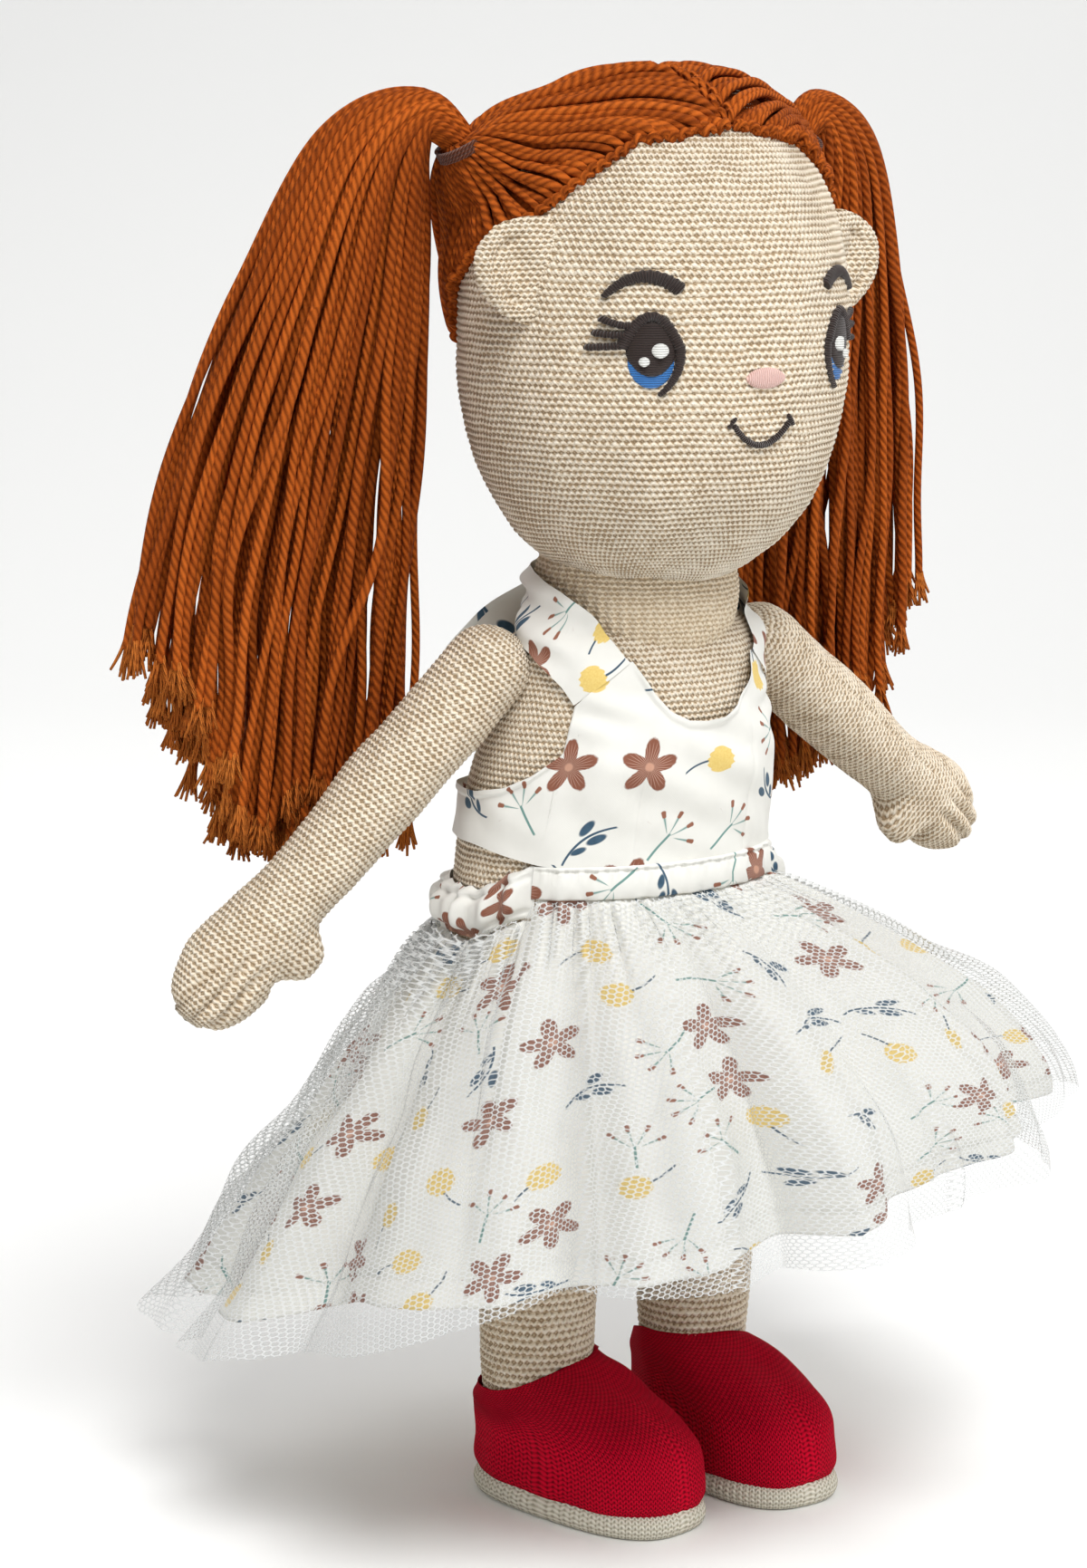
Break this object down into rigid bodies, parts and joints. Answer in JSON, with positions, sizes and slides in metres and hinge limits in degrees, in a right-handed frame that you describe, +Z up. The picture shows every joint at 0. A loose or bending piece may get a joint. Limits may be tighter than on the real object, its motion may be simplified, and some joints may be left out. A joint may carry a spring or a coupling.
{
  "type": "knitted doll",
  "caption": "Standing stuffed doll, knitted in yarn, with yarn pigtails, an embroidered face, knitted shoes and a printed halter dress whose skirt has a net layer over it.",
  "frame": {"origin": "on the ground, at the middle of the doll's outline seen from above, between its shoes", "axes": "+Z up, the doll faces -Y, its own right hand is towards -X"},
  "size_m": [0.2494, 0.2321, 0.3582],
  "materials": {
    "knit_yarn": "matt knitted cotton yarn, beige",
    "fibre_filling": "loose white polyester fibre",
    "hair_yarn": "red-brown twisted yarn",
    "printed_cotton": "white woven cotton with a small printed flower pattern",
    "white_net": "white tulle with small six-sided meshes",
    "red_knit": "fine red machine knit",
    "cream_knit": "firm cream knit",
    "dark_thread": "dark brown satin-stitch thread",
    "blue_thread": "blue satin-stitch thread",
    "white_thread": "white satin-stitch thread",
    "pink_thread": "pale pink satin-stitch thread",
    "elastic_web": "flat woven elastic"
  },
  "bodies": {
    "torso": {"torso_knit_cover": "knit_yarn", "torso_stuffing": "fibre_filling", "bodice": "printed_cotton", "neck_strap_r": "printed_cotton", "neck_strap_l": "printed_cotton", "neck_bow": "printed_cotton", "front_waistband": "printed_cotton", "gathered_casing": "printed_cotton", "waist_elastic": "elastic_web", "cotton_skirt": "printed_cotton", "net_overskirt": "white_net"},
    "neck": {"neck_knit_band": "knit_yarn", "neck_stuffing": "fibre_filling"},
    "head": {"head_knit_cover": "knit_yarn", "head_stuffing": "fibre_filling", "ear_r": "knit_yarn", "ear_l": "knit_yarn", "lid_and_lashes_r": "dark_thread", "lid_and_lashes_l": "dark_thread", "pupil_r": "dark_thread", "pupil_l": "dark_thread", "iris_crescent_r": "blue_thread", "iris_crescent_l": "blue_thread", "eye_highlight_1_r": "white_thread", "eye_highlight_1_l": "white_thread", "eye_highlight_2_r": "white_thread", "eye_highlight_2_l": "white_thread", "brow_r": "dark_thread", "brow_l": "dark_thread", "nose": "pink_thread", "mouth": "dark_thread", "hair_cap_r": "hair_yarn", "hair_cap_l": "hair_yarn", "hair_tie_r": "dark_thread", "hair_tie_l": "dark_thread"},
    "pigtail_r": {"pigtail_r": "hair_yarn"},
    "pigtail_l": {"pigtail_l": "hair_yarn"},
    "arm_r": {"arm_knit_cover_r": "knit_yarn", "arm_stuffing_r": "fibre_filling"},
    "arm_l": {"arm_knit_cover_l": "knit_yarn", "arm_stuffing_l": "fibre_filling"},
    "leg_r": {"leg_knit_cover_r": "knit_yarn", "leg_stuffing_r": "fibre_filling", "shoe_upper_r": "red_knit", "toe_stuffing_r": "fibre_filling", "shoe_sole_r": "cream_knit"},
    "leg_l": {"leg_knit_cover_l": "knit_yarn", "leg_stuffing_l": "fibre_filling", "shoe_upper_l": "red_knit", "toe_stuffing_l": "fibre_filling", "shoe_sole_l": "cream_knit"}
  },
  "joints": [
    {"name": "head_nod", "type": "hinge", "parent": "torso", "child": "neck", "pos_m": [-0.0073, -0.009, 0.229], "axis": [1, 0, 0], "range_deg": [-12, 18]},
    {"name": "head_turn", "type": "hinge", "parent": "neck", "child": "head", "pos_m": [-0.0073, -0.009, 0.229], "axis": [0, 0, 1], "range_deg": [-20, 20]},
    {"name": "arm_swing_r", "type": "hinge", "parent": "torso", "child": "arm_r", "pos_m": [-0.0478, -0.004, 0.212], "axis": [-1, 0, 0], "range_deg": [-20, 100]},
    {"name": "arm_swing_l", "type": "hinge", "parent": "torso", "child": "arm_l", "pos_m": [0.0332, -0.004, 0.212], "axis": [-1, 0, 0], "range_deg": [-20, 100]},
    {"name": "leg_swing_r", "type": "hinge", "parent": "torso", "child": "leg_r", "pos_m": [-0.0313, 0, 0.12], "axis": [-1, 0, 0], "range_deg": [-25, 35]},
    {"name": "leg_swing_l", "type": "hinge", "parent": "torso", "child": "leg_l", "pos_m": [0.0167, 0, 0.12], "axis": [-1, 0, 0], "range_deg": [-25, 35]},
    {"name": "pigtail_swing_r", "type": "hinge", "parent": "head", "child": "pigtail_r", "pos_m": [-0.0556, -0.0075, 0.339], "axis": [0, 1, 0], "range_deg": [0, 45]},
    {"name": "pigtail_swing_l", "type": "hinge", "parent": "head", "child": "pigtail_l", "pos_m": [0.041, -0.0075, 0.339], "axis": [0, -1, 0], "range_deg": [0, 45]}
  ]
}
